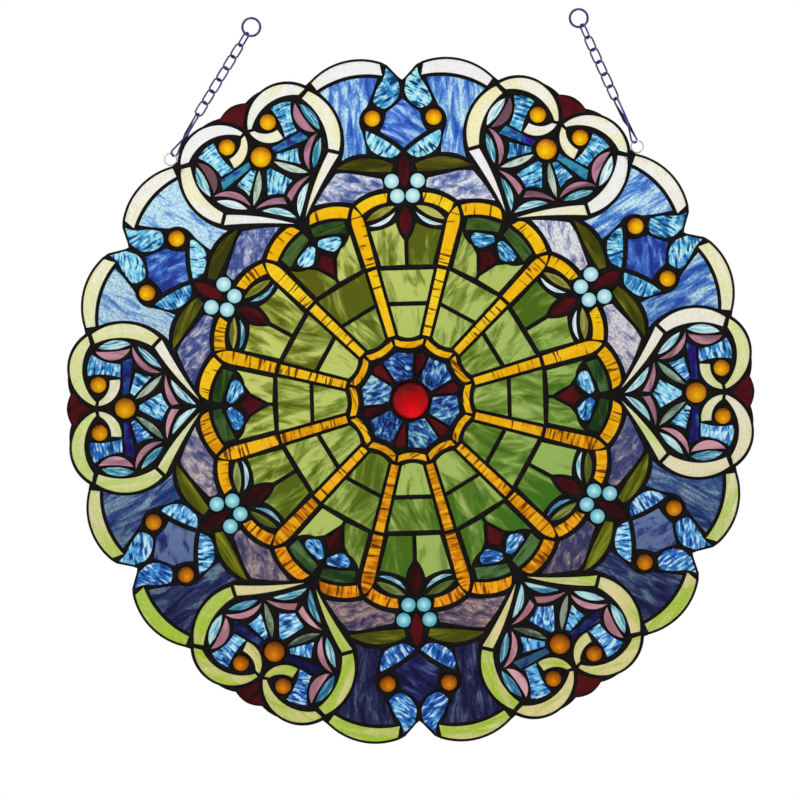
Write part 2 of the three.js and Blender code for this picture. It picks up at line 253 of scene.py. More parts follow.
def sheet_glass(name, head, foot, streak, spread=0.3, ripple=None, painted_head_lift=0.0, grain=0.0, tilt=(0, 1),
                roughness=0.22, transmission=0.75):
    """Rolled sheet glass with streaks of deep, middle and pale colour, at the head and at the foot
    of the panel; the change from foot to head is partly the sheet's own colour and mostly painted light,
    paler toward the head where the light behind the panel is brighter. streak is the length and width of
    a streak in mm, ripple the width and length of cross ripples in mm with the strength and the colours of
    their painted shade in the hollows and painted light on the crests, painted_head_lift how far the head
    is lifted toward painted light, with fewer painted dark hollows, grain the share of a fine hammered
    speckle. No two panes look the same."""
    material, tree, shader = new_material(name)
    cut = add_node(tree, "ShaderNodeAttribute", {}, attribute_name="cut").outputs["Vector"]
    tint = add_node(tree, "ShaderNodeSeparateXYZ", {0: cut}).outputs["Z"]
    length, width = streak
    sheet = add_node(tree, "ShaderNodeMapping", {
        "Vector": cut, "Scale": (1 / (length * MM), 1 / (width * MM), 9)}).outputs[0]
    noise = add_node(tree, "ShaderNodeTexNoise", {
        "Vector": sheet, "Scale": 1, "Detail": 5, "Roughness": 0.6, "Distortion": 0.6}).outputs[0]
    shift = add_node(tree, "ShaderNodeMath", {0: tint, 1: spread, 2: -spread / 2},
                     operation="MULTIPLY_ADD").outputs[0]
    level = add_node(tree, "ShaderNodeMath", {0: noise, 1: shift}, operation="ADD").outputs[0]
    low = add_node(tree, "ShaderNodeMapRange", {
        "Value": level, "From Min": 0.38, "From Max": 0.5}).outputs[0]
    high = add_node(tree, "ShaderNodeMapRange", {
        "Value": level, "From Min": 0.5, "From Max": 0.62}).outputs[0]
    # Painted light: the head colours, mostly paler, stand for the brighter light behind the top of the
    # panel.
    rise = height_share(tree, tilt)
    ends = []
    for deep, mid, pale in (foot, head):
        dark = add_node(tree, "ShaderNodeMix", {0: low, 6: linear(deep), 7: linear(mid)}, data_type="RGBA")
        ends.append(add_node(tree, "ShaderNodeMix", {0: high, 6: dark.outputs[2], 7: linear(pale)},
                             data_type="RGBA").outputs[2])
    colour = add_node(tree, "ShaderNodeMix", {0: rise, 6: ends[0], 7: ends[1]}, data_type="RGBA").outputs[2]
    relief = noise
    if ripple:
        across_mm, along_mm, painted_strength, hollow, crest = ripple
        across = add_node(tree, "ShaderNodeMapping", {
            "Vector": cut, "Scale": (1 / (across_mm * MM), 1 / (along_mm * MM), 9)}).outputs[0]
        waves = add_node(tree, "ShaderNodeTexNoise", {
            "Vector": across, "Scale": 1, "Detail": 1, "Roughness": 0.4, "Distortion": 0.5}).outputs[0]
        # Painted shade in the ripple hollows and painted light on the crests, standing for the light that
        # the ripples bend; toward the head the ripples are lifted toward painted light, with fewer painted
        # dark hollows.
        relief = add_node(tree, "ShaderNodeMath", {0: rise, 1: painted_head_lift, 2: waves},
                          operation="MULTIPLY_ADD").outputs[0]
        painted_hollow_shade = add_node(tree, "ShaderNodeMapRange", {
            "Value": relief, "From Min": 0.44, "From Max": 0.36, "To Max": painted_strength}).outputs[0]
        painted_crest_light = add_node(tree, "ShaderNodeMapRange", {
            "Value": relief, "From Min": 0.54, "From Max": 0.66, "To Max": 0.8 * painted_strength}).outputs[0]
        colour = add_node(tree, "ShaderNodeMix", {0: painted_hollow_shade, 6: colour, 7: linear(hollow)},
                          data_type="RGBA").outputs[2]
        colour = add_node(tree, "ShaderNodeMix", {0: painted_crest_light, 6: colour, 7: linear(crest)},
                          data_type="RGBA").outputs[2]
    if grain:
        relief = add_node(tree, "ShaderNodeTexNoise", {
            "Vector": cut, "Scale": 1 / (2.2 * MM), "Detail": 3, "Roughness": 0.65}).outputs[0]
        fleck = add_node(tree, "ShaderNodeMapRange", {
            "Value": relief, "From Min": 0.35, "From Max": 0.65,
            "To Min": 1 - grain, "To Max": 1 + grain}).outputs[0]
        colour = add_node(tree, "ShaderNodeVectorMath", {0: colour, 1: fleck},
                          operation="MULTIPLY").outputs[0]
    bump = add_node(tree, "ShaderNodeBump", {"Height": relief, "Strength": 0.35, "Distance": 0.4 * MM})
    tree.links.new(bump.outputs[0], shader.inputs["Normal"])
    tree.links.new(colour, shader.inputs["Base Color"])
    shader.inputs["Roughness"].default_value = roughness
    shader.inputs["IOR"].default_value = SHEET_IOR
    shader.inputs["Specular Tint"].default_value = FAINT_GLOSS
    shader.inputs["Transmission Weight"].default_value = transmission
    return material


def finished(piece, material, slot, *nodes):
    """The piece gets its material, rides on the panel and stands for these solids."""
    piece.data.materials.clear()
    piece.data.materials.append(material)
    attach(piece, "root")
    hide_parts(*nodes)


HEART, PALMETTE = 0, 30
PETAL, BETWEEN = 15, 45
rosette_pane = outline(
    polar(41.5, -19.5), polar(44.5, 0), polar(41.5, 19.5), polar(20.3, 21), polar(20.3, -21))
rosette_panes = panes("rosette_panes", (rosette_pane, BETWEEN, False, 35))
mixed_blue = sheet_glass(
    "streaky_blue_and_white_glass", ("#141C5A", "#3A76E0", "#C8E4F4"), ("#181048", "#2C6690", "#86CFA0"),
    streak=(8, 4), spread=0.15)
finished(rosette_panes, mixed_blue, "rosette_glass", "rosette_upper", "rosette_lower")

# Dark red glass: the petals of the rosette, the hearts of the small flowers, the diamonds under the
# palmettes and the accents between the lobes of the hearts. Deep ruby sheet, nearly opaque.
ruby = sheet_glass(
    "ruby_sheet_glass", ("#34040A", "#4A0910", "#5E0E16"), ("#2E0409", "#44080E", "#580C13"),
    streak=(30, 10), spread=0.2, transmission=0.6)
petal = outline((40, -4.7, 3.4), (40, 4.7, 0.4), (21.5, 0, 0.4))
rosette_petals = panes("rosette_petals", (petal, PETAL, False, 0))
finished(rosette_petals, ruby, "rosette_glass", "rosette_upper", "rosette_lower")

# Amber tracery: the bowed ring round the rosette, the ribs that run out from it in two lengths, and the
# pieces that close the fans outside. Rippled amber glass, its ripples across each piece, shown as painted
# shade in their hollows and painted light on their crests; the paler yellow toward the head of the panel is
# painted light.


def six_nodes(kind):
    """The solids of one kind, one in each sixth of the panel."""
    return [f"{kind}_{i + 1}" for i in range(SIXTHS)]


inner_ring = outline((54.8, -13.0, -2.5), (54.8, 13.0), (49.3, 12.0, 2.5), (49.3, -12.0))
rib = outline((59.5, -3.2), (120.5, -4.1), (120.5, 4.1), (59.5, 3.2))
rib_blade = outline((124, -4.4), (163, -5.6, 1.5), (178.5, 0, 1.5), (163, 5.6), (124, 4.4))
heart_arch = outline((180.7, 5.2), (186, 8.5, 0.6), (188.3, 13.5, 3.0), (174.8, 43.3), (168, 36.5, -2.5))
palmette_arch = outline((177, 16.8), (185.2, 15.8, 2.5), (174.6, 44.2), (166.8, 38.5, -1.8))
amber_tracery = panes(
    "amber_ribs",
    (inner_ring, HEART, False, 20), (inner_ring, PALMETTE, False, 25),
    (rib, PETAL, False, 0), (rib, BETWEEN, False, 0),
    (rib_blade, PETAL, False, 0), (rib_blade, BETWEEN, False, 0),
    (heart_arch, HEART, True, 112), (palmette_arch, PALMETTE, True, 110))
amber = sheet_glass(
    "rippled_amber_glass", ("#FFC400", "#FFD806", "#FFEE28"), ("#BE6400", "#E08006", "#F89C14"),
    streak=(40, 12), ripple=(2.6, 22, 0.95, "#6A3400", "#FFC41E"), painted_head_lift=0.04, transmission=0.7)
finished(amber_tracery, amber, "amber_glass", *six_nodes("amber_tracery"))

# Green fans: two tiles and a pair of notched outer tiles between each two ribs, cut from one streaky
# sheet that turns from straw through olive to grass green.
RIB_CLEARANCE = 6.2
RIB_SPREAD = 0.018        # widening of a rib with its distance from the middle


def fan_half(u):
    """Half the width of a fan at u, beside ribs that stand 15 degrees off its axis."""
    clear = RIB_CLEARANCE + (u - 60) * RIB_SPREAD
    return (u * math.sin(math.radians(PETAL)) - clear) / math.cos(math.radians(PETAL))


def tile(near, far, foot_bow=0):
    return outline((near, -fan_half(near)), (far, -fan_half(far)), (far, fan_half(far)),
                   (near, fan_half(near), foot_bow))


heart_notched = outline(
    (127, 1.7), (142.3, 10.2), (147.5, 17.5, -1.5), (154.5, 31), (122.3, 23.2), (123.5, 1.7))
palmette_notched = outline((143, 2, -1), (158.5, 9, -1.5), (151.5, 31.5), (120.8, 22.8), (121.2, 1.8))
fan_nodes = six_nodes("fan_heart") + six_nodes("fan_palmette")
fan_tiles = panes(
    "fan_tiles",
    (tile(58.6, 86.3, 2.3), HEART, False, 15, (0.4, 0.75, 0.35, 0.6, 0.15, 0.6)),
    (tile(90, 118.2), HEART, False, -10, (0.5, 0.7, 0.1, 0.6, 0.5, 0.5)),
    (tile(58.3, 84.3, 2.3), PALMETTE, False, 5, (0.55, 0.9, 0.95, 0.6, 0.9, 0.5)),
    (tile(88.4, 116.3), PALMETTE, False, 20, (0.8, 0.85, 0.4, 0.6, 0.4, 0.5)),
    (heart_notched, HEART, True, 10), (palmette_notched, PALMETTE, True, 0))
streaky_green = sheet_glass(
    "streaky_green_glass", ("#3C761C", "#638E36", "#96B85E"), ("#66620A", "#96A03E", "#D6DC78"),
    streak=(34, 10), spread=0.34, tilt=(0.8, -0.6), transmission=0.65)
finished(fan_tiles, streaky_green, "green_glass", *fan_nodes)

# Dark leaves at the heads of the heart fans, a mirrored pair to each. Bottle green sheet glass, cut flat
# and soldered in between the fan and the amber arch.
dark_leaf = outline((169.3, 2.8), (177, 4.2, 2), (167.3, 32.5), (157.3, 29.5, -0.5))
fan_dark_leaves = panes("fan_dark_leaves", (dark_leaf, HEART, True, 100))
bottle_green = sheet_glass(
    "bottle_green_glass", ("#1A3612", "#33531E", "#4E6C2E"), ("#1C3A16", "#385628", "#587E4C"),
    streak=(26, 7), spread=0.25, transmission=0.65)
finished(fan_dark_leaves, bottle_green, "green_glass", *fan_nodes)

# Olive leaves: small ones at the heads of the palmette fans, large ones that cross the ground. Streaky
# moss and olive sheet glass, cut flat to two bowed sides or to a long sickle.


def leaf(foot, tip, right, left):
    """A pane with two points, each side bowed out by its own amount."""
    return outline((*foot, right), (*tip, left))


small_olive = panes("fan_olive_leaves", (leaf((161, 35), (173.7, 9.7), 2.8, 4), PALMETTE, True, 120))
olive = sheet_glass(
    "olive_sheet_glass", ("#3A3A06", "#55530C", "#747418"), ("#4A5006", "#687010", "#8A9424"),
    streak=(40, 5), spread=0.25, transmission=0.65)
moss = sheet_glass(
    "moss_sheet_glass", ("#7A7820", "#A6A444", "#C8C66A"), ("#44541C", "#62763C", "#88A05C"),
    streak=(30, 5), spread=0.25, transmission=0.65)
finished(small_olive, moss, "green_glass", *fan_nodes)
large_leaf = outline((204.2, 12), (210.8, 9.8, 7.3), (208.3, 60.5, 0.8))
ground_nodes = six_nodes("ground_before") + six_nodes("ground_after")
large_olive = panes("ground_olive_leaves", (large_leaf, PALMETTE, True, 92))
finished(large_olive, olive, "ground_glass", *ground_nodes)

# Small flowers in the fans: dark red hearts, rippled turquoise petals and pale wispy slivers. Flat panes
# of sheet glass, soldered in at the outer ends of the green tiles.
flower_hearts = panes(
    "fan_flower_hearts",
    (outline((145, -8.8, -0.8), (152, 0, -0.8), (145, 8.8), (131, 0)), HEART, False, 0),
    (leaf((146.5, 0), (173.5, 0), 5.4, 5.4), PALMETTE, False, 0))
finished(flower_hearts, ruby, "green_glass", *fan_nodes)
small_petal = outline((160, 1.6, 0.8), (164.3, 5, 0.6), (159, 20.8, 1.2), (153, 21.3, 1.2), (149, 11, 0.6))
flower_petals = panes("fan_flower_petals", (small_petal, HEART, True, 20))
# Turquoise ripples shown as painted shade in their hollows and painted light on their crests; the glass is
# paler toward the head as painted light.
turquoise = sheet_glass(
    "rippled_turquoise_glass", ("#2A86C4", "#66CAEE", "#B4F2FC"), ("#1C56B8", "#3886D4", "#6EC0EC"),
    streak=(18, 8), spread=0.24, ripple=(2.4, 9, 1.0, "#143A6C", "#DCFCFF"))
finished(flower_petals, turquoise, "web_glass", *fan_nodes)
fan_slivers = panes("fan_slivers", (leaf((156.5, 33), (168.5, 9.3), 5, -1.5), PALMETTE, True, 115))
pale_blue = sheet_glass(
    "pale_blue_wispy_glass", ("#2A88A6", "#B4E8EE", "#F6FFFF"), ("#28668C", "#68AEC4", "#BCE6E6"),
    streak=(18, 1.9), spread=0.2)
finished(fan_slivers, pale_blue, "web_glass", *fan_nodes)

# Hearts: cream scrolls in four pieces to a side, from the point round the lobe to its curl, and the cream
# rims between the hearts. Hammered opalescent glass, straw to lime below; its near-white ivory above is
# painted light, the glass washed pale where the light behind the panel is brightest.
scroll_nodes = six_nodes("heart_scroll")
scrolls = panes(
    "cream_scrolls",
    (outline((188.5, 5.8, 2.2), (227, 53.3), (220.5, 60, -1.2)), HEART, True, 50),
    (outline((223.3, 62), (230, 55.2, -6), (280.3, 58.5), (283, 66.5, 11)), HEART, True, 5),
    (outline((284.8, 57.5, -9.6), (280.8, 5.8), (282, 2.8, 19.3), (286.5, 65)), HEART, True, 80),
    (outline((277.8, 6.8, -3), (268, 25), (259, 25.6, 6.5), (278.8, 2.6)), HEART, True, 120),
    (outline((290.5, 17.5), (300.5, 19.5, 9.3), (285.3, 80.8), (279, 76, -6)), PALMETTE, True, 100))
cream = sheet_glass(
    "hammered_cream_glass", ("#FFF8C8", "#FFFDEE", "#FFFFFF"), ("#AECC44", "#D0D27C", "#E8DCA0"),
    streak=(46, 7), spread=0.3, grain=0.1, roughness=0.3, transmission=0.6)
finished(scrolls, cream, "cream_glass", *scroll_nodes)
accent = outline((301.2, -15, 4.2), (301.2, 15, -1.2), (285.8, 0, -1.2))
edge_accents = panes("edge_accents", (accent, HEART, False, 0))
finished(edge_accents, ruby, "cream_glass", *scroll_nodes)

# The web inside each heart: turquoise panes and rays round the large dome, grey leaves and cobalt rays
# between them, mauve leaves and pale slivers along the scroll.
web_nodes = six_nodes("heart_web")
kite = outline((222.6, -12.6, 0.3), (242, -1.8), (242, 1.8, 0.3), (222.6, 12.6, -0.8), (216.2, 0, -0.8))
ray = outline((246.5, 10.8), (250, 13.3), (244.6, 32, -1), (231, 27.2))
block = outline((287.3, 29.8, 1.8), (283.3, 48.3, -2.2), (258.2, 39.3), (258.4, 27.3, -2))
heart_rays = panes(
    "heart_rays", (kite, HEART, False, 50), (ray, HEART, True, 115), (block, HEART, True, 10))
finished(heart_rays, turquoise, "web_glass", *web_nodes)
grey_leaves = panes("heart_grey_leaves", (leaf((221.5, 28.5), (245.5, 7.8), 4.2, 1.8), HEART, True, 140))
grey_green = sheet_glass(
    "grey_green_wispy_glass", ("#7AA28C", "#AECAB6", "#DAE8D8"), ("#3A483E", "#60725F", "#90A08C"),
    streak=(14, 5), spread=0.2, transmission=0.65)
finished(grey_leaves, grey_green, "web_glass", *web_nodes)
cobalt_ray = outline((251.6, 12.6), (256.8, 12), (256.2, 41.8), (247.2, 44.5))
cobalt_rays = panes("heart_cobalt_rays", (cobalt_ray, HEART, True, 85))
cobalt = sheet_glass(
    "streaky_cobalt_glass", ("#2A1080", "#224EA4", "#3E9AB2"), ("#120E3C", "#20266A", "#2F5C7C"),
    streak=(12, 8), spread=0.3)
finished(cobalt_rays, cobalt, "web_glass", *web_nodes)
mauve_leaves = panes(
    "heart_mauve_leaves",
    (outline((207.3, 2.5), (213.5, 1.8, 3), (218, 28.5, -1.6)), HEART, True, 80),
    (leaf((222.5, 31), (247, 54.5), 8.5, -3.2), HEART, True, 45),
    (leaf((249, 52.8), (280, 51), 9, -1.2), HEART, True, 0))
mauve = sheet_glass(
    "mauve_sheet_glass", ("#785460", "#9E7484", "#C68AA2"), ("#AC7484", "#CA90A4", "#E2B0B6"),
    streak=(30, 8), spread=0.3, transmission=0.6)
finished(mauve_leaves, mauve, "web_glass", *web_nodes)
heart_slivers = panes(
    "heart_slivers",
    (leaf((191.5, 1.6), (213.3, 24.3), 5.8, 0.3), HEART, True, 50),
    (leaf((221.8, 35), (242, 54.5), 4, 2.5), HEART, True, 42),
    (leaf((248.5, 57), (277.5, 54), 2.8, 5.2), HEART, True, -5))
finished(heart_slivers, pale_blue, "web_glass", *web_nodes)

# Ground between the hearts: outer panes behind the palmettes and inner ones above the amber arches,
# cut from mottled opalescent sheet, sky blue and white above, indigo below; paler above and darker below is
# mostly painted light, the light behind the panel brighter at the top.
outer_pane = outline((215.5, 55.5, -1.8), (221, 33.3, 0.8), (242, 37.5, -4), (262.5, 32.5, 0.5),
                     (288, 22, 4.9), (276.5, 74, -10))
inner_pane = outline((177.5, 47.3, -2.2), (190, 19.3, 0.8), (198.2, 21), (203.6, 47, 0.5),
                     (203.8, 61, 0.8), (176.3, 80.5, -1.8))
outer_ground = panes(
    "ground_outer_panes", (outer_pane, PALMETTE, True, 0, (0.5, 0.55, 0.95, 0.5, 0.35, 0.5)))
sky = sheet_glass(
    "mottled_blue_glass", ("#2E58BC", "#5E96E0", "#C4E8FA"), ("#161438", "#2A2C58", "#566A80"),
    streak=(26, 7), spread=0.3, grain=0.28)
finished(outer_ground, sky, "ground_glass", *ground_nodes)
inner_ground = panes(
    "ground_inner_panes", (inner_pane, PALMETTE, True, 75, (0.9, 0.6, 0.25, 0.5, 0.6, 0.1)))
lavender = sheet_glass(
    "mottled_lavender_glass", ("#4458A0", "#98A4CA", "#E4E6EE"), ("#383456", "#6E5C6C", "#A88E86"),
    streak=(13, 6), spread=0.24, grain=0.25)
finished(inner_ground, lavender, "ground_glass", *ground_nodes)

# Palmettes: four rippled turquoise petals round a blue centre, with a dark red diamond below. Flat panes
# of sheet glass, each palmette the mirror image of itself about its axis.
palmette_nodes = six_nodes("palmette")
inner_petal = outline((241.5, 33.3, 1.8), (224, 29, 1.5), (217, 12, 0.8), (222.3, 2.8, 1.5))
outer_petal = outline((277, 2.2, 0.3), (287.5, 4.2), (297.5, 14, -0.8), (285.5, 17.8, 1),
                      (268, 26.3, 1.5), (261, 16.5, 3.2))
petals = panes("palmette_petals", (inner_petal, PALMETTE, True, 60), (outer_petal, PALMETTE, True, 30))
finished(petals, turquoise, "palmette_glass", *palmette_nodes)
heart_of_palmette = outline((240.5, -20.8, -1.2), (257.5, -15, -0.5), (269.5, 0, -0.5), (257.5, 15, -1.2),
                            (240.5, 20.8, -0.8), (225.5, 0, -0.8))
centres = panes("palmette_centres", (heart_of_palmette, PALMETTE, False, 60))
deep_blue = sheet_glass(
    "streaky_deep_blue_glass", ("#263C9C", "#4A7EDC", "#AAD2FA"), ("#141036", "#262660", "#505E8C"),
    streak=(20, 8), spread=0.3, grain=0.12)
finished(centres, deep_blue, "palmette_glass", *palmette_nodes)
diamonds = panes("palmette_diamonds", (leaf((190, 0), (219.5, 0), 5.4, 5.4), PALMETTE, False, 0))
finished(diamonds, ruby, "palmette_glass", *palmette_nodes)

# Domed glasses: pressed cabochons with a flat back, set into the solder like panes. A large ruby jewel in
# the middle, pearls at the feet of the palmettes, amber ones in the hearts and palmettes.
DOME_RISE = 0.6           # height above the sheet as a share of the radius
DOME_SEGMENTS = 24
DOME_RINGS = 16
DOME_CREASE = 40          # degrees at which the rim of a dome stays sharp
DOME_TIP = 40             # degrees to each side that the bright part of a dome strays


def circle(u, v, radius):
    count = max(16, round(2 * math.pi * radius / STEP))
    turns = [Matrix.Rotation(2 * math.pi * i / count, 2) for i in range(count)]
    return [Vector((u, v)) + Vector((radius, 0)) @ turn for turn in turns]


def dome_model(name, radius, rise):
    """A dome on the bench, on a short straight wall that stands in the solder."""
    bpy.ops.object.select_all(action="DESELECT")
    bpy.ops.mesh.primitive_uv_sphere_add(segments=DOME_SEGMENTS, ring_count=DOME_RINGS, radius=radius)
    model = bpy.context.object
    model.name = name

    def shape():
        bpy.ops.mesh.bisect(plane_co=(0, 0, 0), plane_no=(0, 0, 1), clear_inner=True, use_fill=True)
        bpy.ops.mesh.select_all(action="SELECT")
        bpy.ops.transform.resize(value=(1, 1, rise / radius), center_override=(0, 0, 0))
        bpy.ops.transform.translate(value=(0, 0, GLASS_THICKNESS / 2))
        bpy.ops.mesh.select_all(action="DESELECT")

    edit(shape)
    for face in model.data.polygons:
        face.select = face.normal.z < -0.9
    bpy.ops.object.mode_set(mode="EDIT")
    bpy.ops.mesh.extrude_region_move(TRANSFORM_OT_translate={"value": (0, 0, -GLASS_THICKNESS)})
    bpy.ops.object.mode_set(mode="OBJECT")
    edit(close_mesh)
    bpy.ops.object.shade_smooth_by_angle(angle=math.radians(DOME_CREASE))
    return model


def domes(name, *places):
    """Domes at places (u, v, radius, axis, both sides), each pressed once and copied round the panel."""
    copies = []
    for u, v, radius, axis, both in places:
        for across in ((v, -v) if both else (v,)):
            model = dome_model(name, radius + EDGE_GRIND, radius * DOME_RISE)
            edge = circle(u, across, radius)
            turns = six_turns(axis)
            copies += set_domes(name, model, (u, across), turns, edge)
    return joined(name, copies)


def set_domes(name, model, place, turns, edge):
    """Copies of a dome in place. The attribute "cut" holds the spot on the dome, as shares of its radius."""
    radius = max(v.co.x for v in model.data.vertices)
    copies = []
    for turn in turns:
        mesh = model.data.copy()
        tip = draws.uniform(-DOME_TIP, DOME_TIP)
        lie = Matrix.Rotation(math.radians(turn + tip), 2)
        spots = [lie @ v.co.xy / radius for v in mesh.vertices]
        tint = draws.random()
        cut = mesh.attributes.new("cut", "FLOAT_VECTOR", "POINT")
        cut.data.foreach_set("vector", [n for p in spots for n in (p.x, p.y, tint)])
        spin = Matrix.Rotation(math.radians(turn), 4, "Z")
        mesh.transform(UPRIGHT @ spin @ Matrix.Translation((*place, 0)))
        copy = bpy.data.objects.new(name, mesh)
        bpy.context.scene.collection.objects.link(copy)
        copies.append(copy)
        openings.append(turned(edge, turn))
    bpy.data.objects.remove(model)
    return copies


def pressed_glass(name, head, foot, light=(0, -0.35), reach=1.15):
    """Pressed cabochon glass with painted light and shade: painted shade at the far edge, full colour in the
    body and painted light where the light gathers; these three colours at the head and at the foot of the
    panel, the head mostly brighter as painted light."""
    material, tree, shader = new_material(name)
    cut = add_node(tree, "ShaderNodeAttribute", {}, attribute_name="cut").outputs["Vector"]
    parts = add_node(tree, "ShaderNodeSeparateXYZ", {0: cut})
    spot = add_node(tree, "ShaderNodeCombineXYZ", {0: parts.outputs[0], 1: parts.outputs[1]}).outputs[0]
    away = add_node(tree, "ShaderNodeVectorMath", {0: spot, 1: (*light, 0)},
                    operation="DISTANCE").outputs["Value"]
    cloud = add_node(tree, "ShaderNodeTexNoise", {"Vector": cut, "Scale": 2.2, "Detail": 2}).outputs[0]
    loose = add_node(tree, "ShaderNodeMath", {0: cloud, 1: 0.5, 2: away},
                     operation="MULTIPLY_ADD").outputs[0]
    near = add_node(tree, "ShaderNodeMapRange", {
        "Value": loose, "From Min": 0.25, "From Max": 0.25 + reach / 2}).outputs[0]
    far = add_node(tree, "ShaderNodeMapRange", {
        "Value": loose, "From Min": 0.3 + reach / 2, "From Max": 0.4 + reach}).outputs[0]
    ends = []
    for shade, body, glow in (foot, head):
        warm = add_node(tree, "ShaderNodeMix", {0: near, 6: linear(glow), 7: linear(body)}, data_type="RGBA")
        ends.append(add_node(tree, "ShaderNodeMix", {0: far, 6: warm.outputs[2], 7: linear(shade)},
                             data_type="RGBA").outputs[2])
    # Painted light: the domes toward the head are brighter, standing for the brighter light behind the
    # panel.
    colour = add_node(tree, "ShaderNodeMix", {0: height_share(tree), 6: ends[0], 7: ends[1]},
                      data_type="RGBA").outputs[2]
    tree.links.new(colour, shader.inputs["Base Color"])
    shader.inputs["Roughness"].default_value = 0.1
    shader.inputs["IOR"].default_value = SHEET_IOR
    shader.inputs["Specular Tint"].default_value = FAINT_GLOSS
    shader.inputs["Transmission Weight"].default_value = 0.55
    return material


JEWEL_RADIUS = 16.0
jewel_rise = -jewel_low.y / MM - GLASS_THICKNESS / 2
jewel_model = dome_model("ruby_jewel", JEWEL_RADIUS + EDGE_GRIND, jewel_rise)
jewel_edge = circle(0, 0, JEWEL_RADIUS)
jewel = joined("ruby_jewel", set_domes("ruby_jewel", jewel_model, (0, 0), [0], jewel_edge))
# The jewel is painted dark at the top and bright red below: painted shade and painted light of the dome.
ruby_reds = ("#5A0004", "#BC040C", "#FF0C12")
pressed_ruby = pressed_glass("pressed_ruby_glass", ruby_reds, ruby_reds, light=(0, -0.7), reach=1.5)
finished(jewel, pressed_ruby, "jewel_glass", "centre_jewel")
pearls = domes("pearls", (182.6, 6.9, 6.2, PALMETTE, True), (196, 11.6, 6.3, PALMETTE, True))
# The pearls are painted bright in the middle and deeper at the rim and toward the foot: painted light and
# painted shade of the domes.
opal = pressed_glass(
    "pressed_opal_glass", ("#84D6E6", "#C4F2F8", "#F6FFFF"), ("#3A98B2", "#74C8D8", "#C0F8FA"),
    light=(0, 0))
finished(pearls, opal, "palmette_glass", *palmette_nodes)
heart_domes = domes("heart_domes", (255, 0, 9, HEART, False), (278.3, 21.5, 7, HEART, True))
# Amber domes painted dark at one edge and bright where the light gathers, and brighter toward the head of
# the panel: painted shade and painted light.
amber_dome = pressed_glass(
    "pressed_amber_glass", ("#8A4600", "#FAB000", "#FFE61C"), ("#461C00", "#BA6604", "#F29610"))
finished(heart_domes, amber_dome, "web_glass", *web_nodes)
palmette_domes = domes("palmette_domes", (252.5, 27.5, 7, PALMETTE, True))
finished(palmette_domes, amber_dome, "palmette_glass", *palmette_nodes)

# Solder lines: tin solder run over the foiled edges of all the glass in rounded beads, one on each face,
# and blackened with patina. It leaves every pane open and ends in the scalloped edge of the panel.
BEAD_RISE = 1.1           # height of a bead above the glass
BEAD_HALF = 1.7           # half the width at which a bead is full
BEAD_CREASE = 55          # degrees at which the foot of a bead stays sharp
heart_edge = [(307.2, 0, 0.8), (303.4, 13.2, 0.9), (305.4, 30, 6), (288.8, 67.2)]
palmette_edge = [(287.2, -82, 9.5), (302.6, -18.5), (299.8, -13), (288.7, -2.8), (286.5, 0)]


def run(corners):
    sides = [side(corner, end) for corner, end in zip(corners, corners[1:])]
    return [p for points in sides for p in points] + [Vector(corners[-1][:2])]


from_heart, to_palmette = run(heart_edge), run(palmette_edge)
sixth = (from_heart + turned(to_palmette, PALMETTE) + turned(mirrored(to_palmette)[1:], PALMETTE)
         + turned(mirrored(from_heart)[:-1], SIXTH_TURN))
scallops = [p for turn in six_turns(HEART) for p in turned(sixth, turn)]
solder = flat_mesh("solder_beads", [scallops] + openings, 0, 0)


def triangulate():
    bpy.ops.mesh.remove_doubles(threshold=WELD)
    bpy.ops.mesh.quads_convert_to_tris()
    bpy.ops.mesh.beautify_fill()


edit(triangulate)
rims = len(solder.data.vertices)


def select_rims():
    bpy.ops.mesh.select_mode(type="EDGE")
    bpy.ops.mesh.select_all(action="DESELECT")
    bpy.ops.mesh.select_non_manifold(
        use_wire=False, use_multi_face=False, use_non_contiguous=False, use_verts=False)


def split_lines():
    """A row of points along the middle of every line, between its two rims."""
    select_rims()
    bpy.ops.mesh.select_all(action="INVERT")
    bpy.ops.mesh.subdivide(number_cuts=1)
    bpy.ops.mesh.quads_convert_to_tris()


edit(split_lines)
rim_points = kdtree.KDTree(rims)
for i in range(rims):
    rim_points.insert(solder.data.vertices[i].co, i)
rim_points.balance()
for i, vertex in enumerate(solder.data.vertices):
    reach = 0
    if i >= rims:
        reach = min(1, rim_points.find(vertex.co)[2] / BEAD_HALF)
    vertex.co.z = GLASS_THICKNESS / 2 + BEAD_RISE * math.sqrt(1 - (1 - reach) ** 2)


def drop_rims():
    select_rims()
    bpy.ops.mesh.extrude_region_move(TRANSFORM_OT_translate={"value": (0, 0, -GLASS_THICKNESS / 2)})


edit(drop_rims)
halves = solder.modifiers.new("both faces", "MIRROR")
halves.use_axis = (False, False, True)
halves.merge_threshold = WELD
bpy.ops.object.modifier_apply(modifier=halves.name)
edit(close_mesh)
bpy.ops.object.shade_smooth_by_angle(angle=math.radians(BEAD_CREASE))
solder.data.transform(UPRIGHT)


